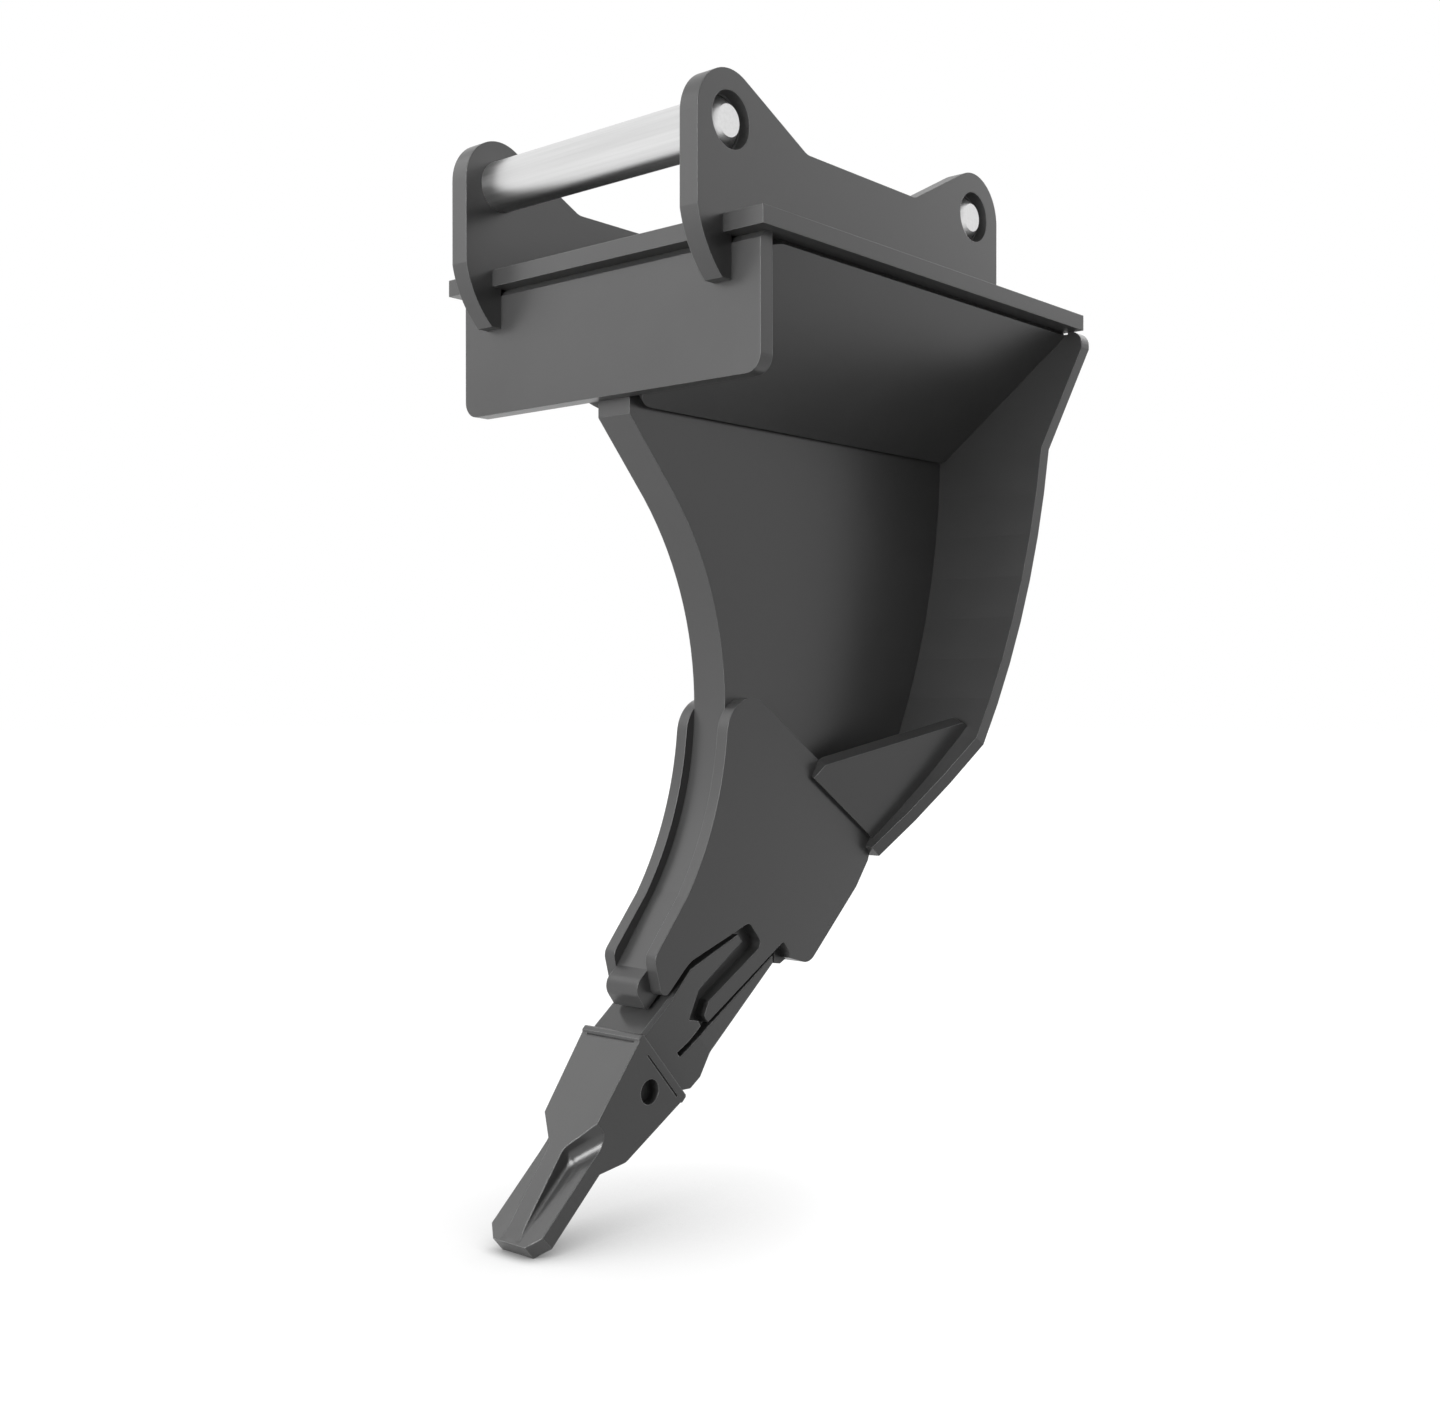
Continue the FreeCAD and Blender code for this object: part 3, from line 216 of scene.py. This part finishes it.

# Welded steelwork
# Flame-cut and press-bent plates welded together and sprayed in one coat of dark grey satin paint.
# The coat is slightly uneven and has a fine orange-peel skin; its outer edges are paled as a painted
# highlight.
PAINT_GREY = 0.106
PAINT_GREY_THIN = 0.114
PAINT_ROUGHNESS = 0.33
ROUGHNESS_SPREAD = 0.05
PAINT_SHEEN = 0.5
CLOUD_SCALE = 7.0
CLOUD_DETAIL = 6.0
CLOUD_DARK_AT = 0.35
CLOUD_PALE_AT = 0.65
PEEL_SCALE = 420.0
PEEL_DEPTH = 0.00012
SKIN_DETAIL = 2.0
SKIN_RELIEF = 0.35
PLATE_EDGE_ROUND = 0.0013
EDGE_SAMPLES = 6
# Pale grey painted along outer edges as a highlight.
EDGE_HIGHLIGHT_GREY = 0.32
EDGE_FROM = 0.99
EDGE_FULL = 0.84
CORNER_REACH = 0.004
CORNER_SAMPLES = 4
CORNER_FULL = 0.8
CORNER_FREE = 0.97


def grain(tree, scale, detail, finer=(1.0, 1.0, 1.0)):
    """A cloudy pattern fixed to the piece, so many times finer along each of its three directions."""
    place = tree.nodes.new("ShaderNodeTexCoord")
    spread = tree.nodes.new("ShaderNodeMapping")
    spread.inputs["Scale"].default_value = finer
    tree.links.new(place.outputs["Object"], spread.inputs["Vector"])
    pattern = tree.nodes.new("ShaderNodeTexNoise")
    pattern.inputs["Scale"].default_value = scale
    pattern.inputs["Detail"].default_value = detail
    tree.links.new(spread.outputs[0], pattern.inputs["Vector"])
    return pattern.outputs["Fac"]


def two_greys(tree, pattern, dark, pale):
    """Mixes two greys by a pattern, each given as its level in the pattern and its grey."""
    tint = tree.nodes.new("ShaderNodeValToRGB")
    for stop, (level, grey) in zip(tint.color_ramp.elements, (dark, pale)):
        stop.position = level
        stop.color = (grey, grey, grey, 1)
    tree.links.new(pattern, tint.inputs[0])
    return tint.outputs[0]


def raised(tree, pattern, strength, depth):
    """Turns a pattern into a fine relief."""
    relief = tree.nodes.new("ShaderNodeBump")
    relief.inputs["Strength"].default_value = strength
    relief.inputs["Distance"].default_value = depth
    tree.links.new(pattern, relief.inputs["Height"])
    return relief


def painted_edge_highlight(tree, round_edge, grey):
    """Pales a grey where the rounded edge turns away from its face, except in inner corners: a painted
    highlight along outer edges.
    """
    face = tree.nodes.new("ShaderNodeNewGeometry")
    turned_away = tree.nodes.new("ShaderNodeVectorMath")
    turned_away.operation = "DOT_PRODUCT"
    tree.links.new(round_edge.outputs[0], turned_away.inputs[0])
    tree.links.new(face.outputs["Normal"], turned_away.inputs[1])
    open_air = tree.nodes.new("ShaderNodeAmbientOcclusion")
    open_air.samples = CORNER_SAMPLES
    open_air.inputs["Distance"].default_value = CORNER_REACH
    highlight_mask = tree.nodes.new("ShaderNodeMath")
    highlight_mask.operation = "MULTIPLY"
    on_edge = fade(tree, turned_away.outputs["Value"], EDGE_FROM, EDGE_FULL, 0.0, 1.0)
    outer_only = fade(tree, open_air.outputs["AO"], CORNER_FULL, CORNER_FREE, 0.0, 1.0)
    tree.links.new(on_edge, highlight_mask.inputs[0])
    tree.links.new(outer_only, highlight_mask.inputs[1])
    highlighted_grey = tree.nodes.new("ShaderNodeMixRGB")
    highlighted_grey.inputs["Color2"].default_value = (EDGE_HIGHLIGHT_GREY, EDGE_HIGHLIGHT_GREY, EDGE_HIGHLIGHT_GREY, 1)
    tree.links.new(highlight_mask.outputs[0], highlighted_grey.inputs["Fac"])
    tree.links.new(grey, highlighted_grey.inputs["Color1"])
    return highlighted_grey.outputs["Color"]


def sprayed(name, grey, thin_grey, roughness, skin_scale, skin_depth, edge_round):
    """A sprayed coat: cloudy grey, a fine skin in relief, and soft edges paled by a painted highlight.
    """
    coat = bpy.data.materials.new(name)
    coat.use_nodes = True
    tree = coat.node_tree
    shader = tree.nodes["Principled BSDF"]
    shader.inputs["Specular IOR Level"].default_value = PAINT_SHEEN
    cloud = grain(tree, CLOUD_SCALE, CLOUD_DETAIL)
    greys = two_greys(tree, cloud, (CLOUD_DARK_AT, grey), (CLOUD_PALE_AT, thin_grey))
    gloss = fade(tree, cloud, 0.0, 1.0, roughness - ROUGHNESS_SPREAD, roughness + ROUGHNESS_SPREAD)
    tree.links.new(gloss, shader.inputs["Roughness"])
    round_edge = tree.nodes.new("ShaderNodeBevel")
    round_edge.samples = EDGE_SAMPLES
    round_edge.inputs["Radius"].default_value = edge_round
    tree.links.new(painted_edge_highlight(tree, round_edge, greys), shader.inputs["Base Color"])
    skin = raised(tree, grain(tree, skin_scale, SKIN_DETAIL), SKIN_RELIEF, skin_depth)
    tree.links.new(round_edge.outputs[0], skin.inputs["Normal"])
    tree.links.new(skin.outputs[0], shader.inputs["Normal"])
    return coat


def finish_node(name, coat):
    """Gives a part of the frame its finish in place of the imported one."""
    part = nodes[name]
    part.data.materials.clear()
    part.data.materials.append(coat)


plate_paint = sprayed(
    "plate_paint", PAINT_GREY, PAINT_GREY_THIN, PAINT_ROUGHNESS, PEEL_SCALE, PEEL_DEPTH, PLATE_EDGE_ROUND
)
for plate in (
    "ear_right", "ear_left", "top_plate", "front_plate", "slant_gusset_right", "slant_gusset_left",
    "rear_plate", "shank", "cheek_right", "cheek_left", "lower_gusset_right", "lower_gusset_left",
):
    finish_node(plate, plate_paint)

# Adapter
# A steel casting that straddles the shank's nose, in the same grey with the coarser skin and softer
# edges of a sand mould. Narrow grooves stay open between it and the cheek plates: over each finger,
# and along the slot and the strap. Each finger's heel and underside stand clear of the cheek too.
CAST_GREY = 0.108
CAST_GREY_THIN = 0.117
CAST_ROUGHNESS = 0.22
MOULD_GRAIN_SCALE = 260.0
MOULD_GRAIN_DEPTH = 0.0003
CAST_EDGE_ROUND = 0.0028
SMOOTH_BELOW = math.radians(30)
SAME_SPOT = 0.00002
SEAT_Y = 0.0234
SEAT_Z = -1.0012
TOOTH_SLANT = math.radians(41.6)
GROOVE_OUTER = 0.060
FINGER_GROOVE_INNER = 0.0245
FINGER_GROOVE = (((0.104, -0.008), (0.205, 0.030)), ((0.104, 0.0075), (0.205, 0.0497)))
FINGER_HEEL = (((0.065, 0.0497), (0.1014, 0.0381)), ((0.0757, 0.064), (0.1014, 0.064)))
FINGER_UNDERSIDE = (((0.1014, 0.0381), (0.196, 0.0588)), ((0.1014, 0.064), (0.196, 0.064)))
STRAP_GROOVE_INNER = 0.027
SLOT_GROOVE = (((0.027, 0.066), (0.0858, 0.073)), ((0.027, 0.0706), (0.0858, 0.0835)))
STRAP_GROOVE = (((0.085, 0.073), (0.240, 0.105)), ((0.085, 0.0833), (0.240, 0.1203)))
cast_paint = sprayed(
    "cast_paint", CAST_GREY, CAST_GREY_THIN, CAST_ROUGHNESS, MOULD_GRAIN_SCALE, MOULD_GRAIN_DEPTH,
    CAST_EDGE_ROUND,
)


def own_casting(name, node):
    """A separate mesh of a node, with its loose triangles joined, to be carved further."""
    bpy.ops.object.select_all(action="DESELECT")
    piece = bpy.data.objects.new(name, nodes[node].data.copy())
    bpy.context.scene.collection.objects.link(piece)
    bpy.context.view_layer.objects.active = piece
    piece.select_set(True)
    bpy.ops.object.mode_set(mode="EDIT")
    bpy.ops.mesh.select_all(action="SELECT")
    bpy.ops.mesh.remove_doubles(threshold=SAME_SPOT)
    bpy.ops.mesh.customdata_custom_splitnormals_clear()
    bpy.ops.object.mode_set(mode="OBJECT")
    return piece


def from_seat(across, back, depth):
    """A place given across the shank, and back from and below the tooth's seat in its own slant."""
    return Vector((
        across,
        SEAT_Y + back * math.cos(TOOTH_SLANT) + depth * math.sin(TOOTH_SLANT),
        SEAT_Z + back * math.sin(TOOTH_SLANT) - depth * math.cos(TOOTH_SLANT),
    ))


def cutting_block(inner, outer, upper, lower, rear_run=0.0):
    """A block to be cut out of a casting, between two places across the shank.

    Its upper and its lower edge run from front to rear, and each end is given as back and depth. On
    the outer side its rear end lies so much further back.
    """
    bpy.ops.object.select_all(action="DESELECT")
    bpy.ops.mesh.primitive_cube_add(size=1)
    cutter = bpy.context.object
    for corner in cutter.data.vertices:
        across = outer if corner.co.x > 0 else inner
        front_end, rear_end = upper if corner.co.z > 0 else lower
        back, depth = rear_end if corner.co.y > 0 else front_end
        if corner.co.x > 0 and corner.co.y > 0:
            back += rear_run
        corner.co = from_seat(across, back, depth)
    bpy.ops.object.mode_set(mode="EDIT")
    bpy.ops.mesh.select_all(action="SELECT")
    bpy.ops.mesh.normals_make_consistent(inside=False)
    bpy.ops.object.mode_set(mode="OBJECT")
    return cutter


def carve(piece, cutter):
    """Cuts a block's shape out of a piece."""
    bpy.ops.object.select_all(action="DESELECT")
    piece.select_set(True)
    bpy.context.view_layer.objects.active = piece
    cut = piece.modifiers.new("carve", "BOOLEAN")
    cut.operation = "DIFFERENCE"
    cut.solver = "EXACT"
    cut.object = cutter
    bpy.ops.object.modifier_apply(modifier=cut.name)
    bpy.data.objects.remove(cutter)


def finish_casting(piece, node):
    """Gives a carved casting its coat and puts it in its node's place."""
    bpy.ops.object.shade_smooth_by_angle(angle=SMOOTH_BELOW)
    piece.data.materials.clear()
    piece.data.materials.append(cast_paint)
    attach(piece, "root")
    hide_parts(node)


adapter = own_casting("adapter_casting", "adapter")
for (upper_edge, lower_edge), inner in (
    (FINGER_GROOVE, FINGER_GROOVE_INNER),
    (FINGER_HEEL, FINGER_GROOVE_INNER),
    (FINGER_UNDERSIDE, FINGER_GROOVE_INNER),
    (SLOT_GROOVE, STRAP_GROOVE_INNER),
    (STRAP_GROOVE, STRAP_GROOVE_INNER),
):
    for side in (1, -1):
        carve(adapter, cutting_block(side * inner, side * GROOVE_OUTER, upper_edge, lower_edge))
finish_casting(adapter, "adapter")

# Tooth
# A steel casting that slips over the adapter's nose, with a scoop on each side of a spine. The
# scoops meet the spine in a tighter corner than the wide sweep at their rear end.
SPINE_SIDE = 0.01165
SCOOP_OUTER = 0.092
SCOOP_TIP = -0.2706
SCOOP_REAR = -0.1469
SCOOP_REAR_SLOPE = 1.1304
SCOOP_FLOOR = 0.04345
SCOOP_TOP = -0.062
REAR_SWEEP = 0.0150
SWEEP_STEPS = 8
SPINE_CORNER_SHARE = 0.3
tooth = own_casting("tooth_casting", "tooth")
for side in (1, -1):
    scoop = cutting_block(
        side * SPINE_SIDE,
        side * SCOOP_OUTER,
        ((SCOOP_TIP, SCOOP_TOP), (SCOOP_REAR, SCOOP_TOP)),
        ((SCOOP_TIP, SCOOP_FLOOR), (SCOOP_REAR, SCOOP_FLOOR)),
        rear_run=(SCOOP_OUTER - SPINE_SIDE) * SCOOP_REAR_SLOPE,
    )
    corners = scoop.data.vertices
    spine_foot = from_seat(side * SPINE_SIDE, SCOOP_REAR, SCOOP_FLOOR)
    foot = min(corners, key=lambda corner: (corner.co - spine_foot).length).index
    weights = scoop.data.attributes.new("bevel_weight_edge", "FLOAT", "EDGE")
    for edge in scoop.data.edges:
        if foot in edge.vertices:
            reach = max(abs(corners[end].co.x) for end in edge.vertices)
            weights.data[edge.index].value = 1.0 if reach > SPINE_SIDE * 2 else SPINE_CORNER_SHARE
    sweep = scoop.modifiers.new("sweep", "BEVEL")
    sweep.width = REAR_SWEEP
    sweep.segments = SWEEP_STEPS
    sweep.limit_method = "WEIGHT"
    bpy.ops.object.modifier_apply(modifier=sweep.name)
    carve(tooth, scoop)
finish_casting(tooth, "tooth")

# Tooth pin
# A short round bar of steel, driven through the tooth and the adapter's nose, with its
# ends deep in the hole. It is coloured near black with a slight grain, as painted shade of the deep
# hole.
# Near-black greys of the pin: painted shade of the deep hole its ends sit in.
HOLE_SHADE_BLACK = 0.02
HOLE_SHADE_BLACK_AT = 0.4
HOLE_SHADE_PALER = 0.035
HOLE_SHADE_PALER_AT = 0.7
OXIDE_SHINE = 0.6
OXIDE_SMOOTHEST = 0.45
OXIDE_ROUGHEST = 0.6
OXIDE_SCALE = 180.0
OXIDE_DETAIL = 5.0
OXIDE_RELIEF = 0.3
OXIDE_DEPTH = 0.0002


def bare_steel(name, metallic, scale, detail, finer, dark, pale, roughness, relief):
    """Unpainted steel, whose greys, gloss and fine relief all follow one pattern."""
    steel = bpy.data.materials.new(name)
    steel.use_nodes = True
    tree = steel.node_tree
    shader = tree.nodes["Principled BSDF"]
    shader.inputs["Metallic"].default_value = metallic
    pattern = grain(tree, scale, detail, finer)
    tree.links.new(two_greys(tree, pattern, dark, pale), shader.inputs["Base Color"])
    tree.links.new(fade(tree, pattern, 0.0, 1.0, *roughness), shader.inputs["Roughness"])
    tree.links.new(raised(tree, pattern, *relief).outputs[0], shader.inputs["Normal"])
    return steel


# The pin's near-black finish paints the shade of its hole.
hole_shade_steel = bare_steel(
    name="hole_shade_steel",
    metallic=OXIDE_SHINE,
    scale=OXIDE_SCALE,
    detail=OXIDE_DETAIL,
    finer=(1.0, 1.0, 1.0),
    dark=(HOLE_SHADE_BLACK_AT, HOLE_SHADE_BLACK),
    pale=(HOLE_SHADE_PALER_AT, HOLE_SHADE_PALER),
    roughness=(OXIDE_SMOOTHEST, OXIDE_ROUGHEST),
    relief=(OXIDE_RELIEF, OXIDE_DEPTH),
)
finish_node("tooth_pin", hole_shade_steel)

# Pins
# Two bright steel bars, ground along and left bare, that the coupler's hooks close on. Each is held
# in the holes of both ears, a little short of their outer faces.
STEEL_DULL = 0.711
DULL_AT = 0.3
STEEL_BRIGHT = 0.79
BRIGHT_AT = 0.7
STEEL_SMOOTHEST = 0.31
STEEL_ROUGHEST = 0.43
STREAKS_ALONG = 5.0
STREAKS_ROUND = 240.0
STREAK_DETAIL = 4.0
STREAK_RELIEF = 0.15
STREAK_DEPTH = 0.00005
ground_steel = bare_steel(
    name="ground_steel",
    metallic=1.0,
    scale=1.0,
    detail=STREAK_DETAIL,
    finer=(STREAKS_ALONG, STREAKS_ROUND, STREAKS_ROUND),
    dark=(DULL_AT, STEEL_DULL),
    pale=(BRIGHT_AT, STEEL_BRIGHT),
    roughness=(STEEL_SMOOTHEST, STEEL_ROUGHEST),
    relief=(STREAK_RELIEF, STREAK_DEPTH),
)
for pin in ("front_pin", "rear_pin"):
    finish_node(pin, ground_steel)

# Closing
# White stays plain white in the picture.
bpy.context.scene.view_settings.view_transform = "Standard"
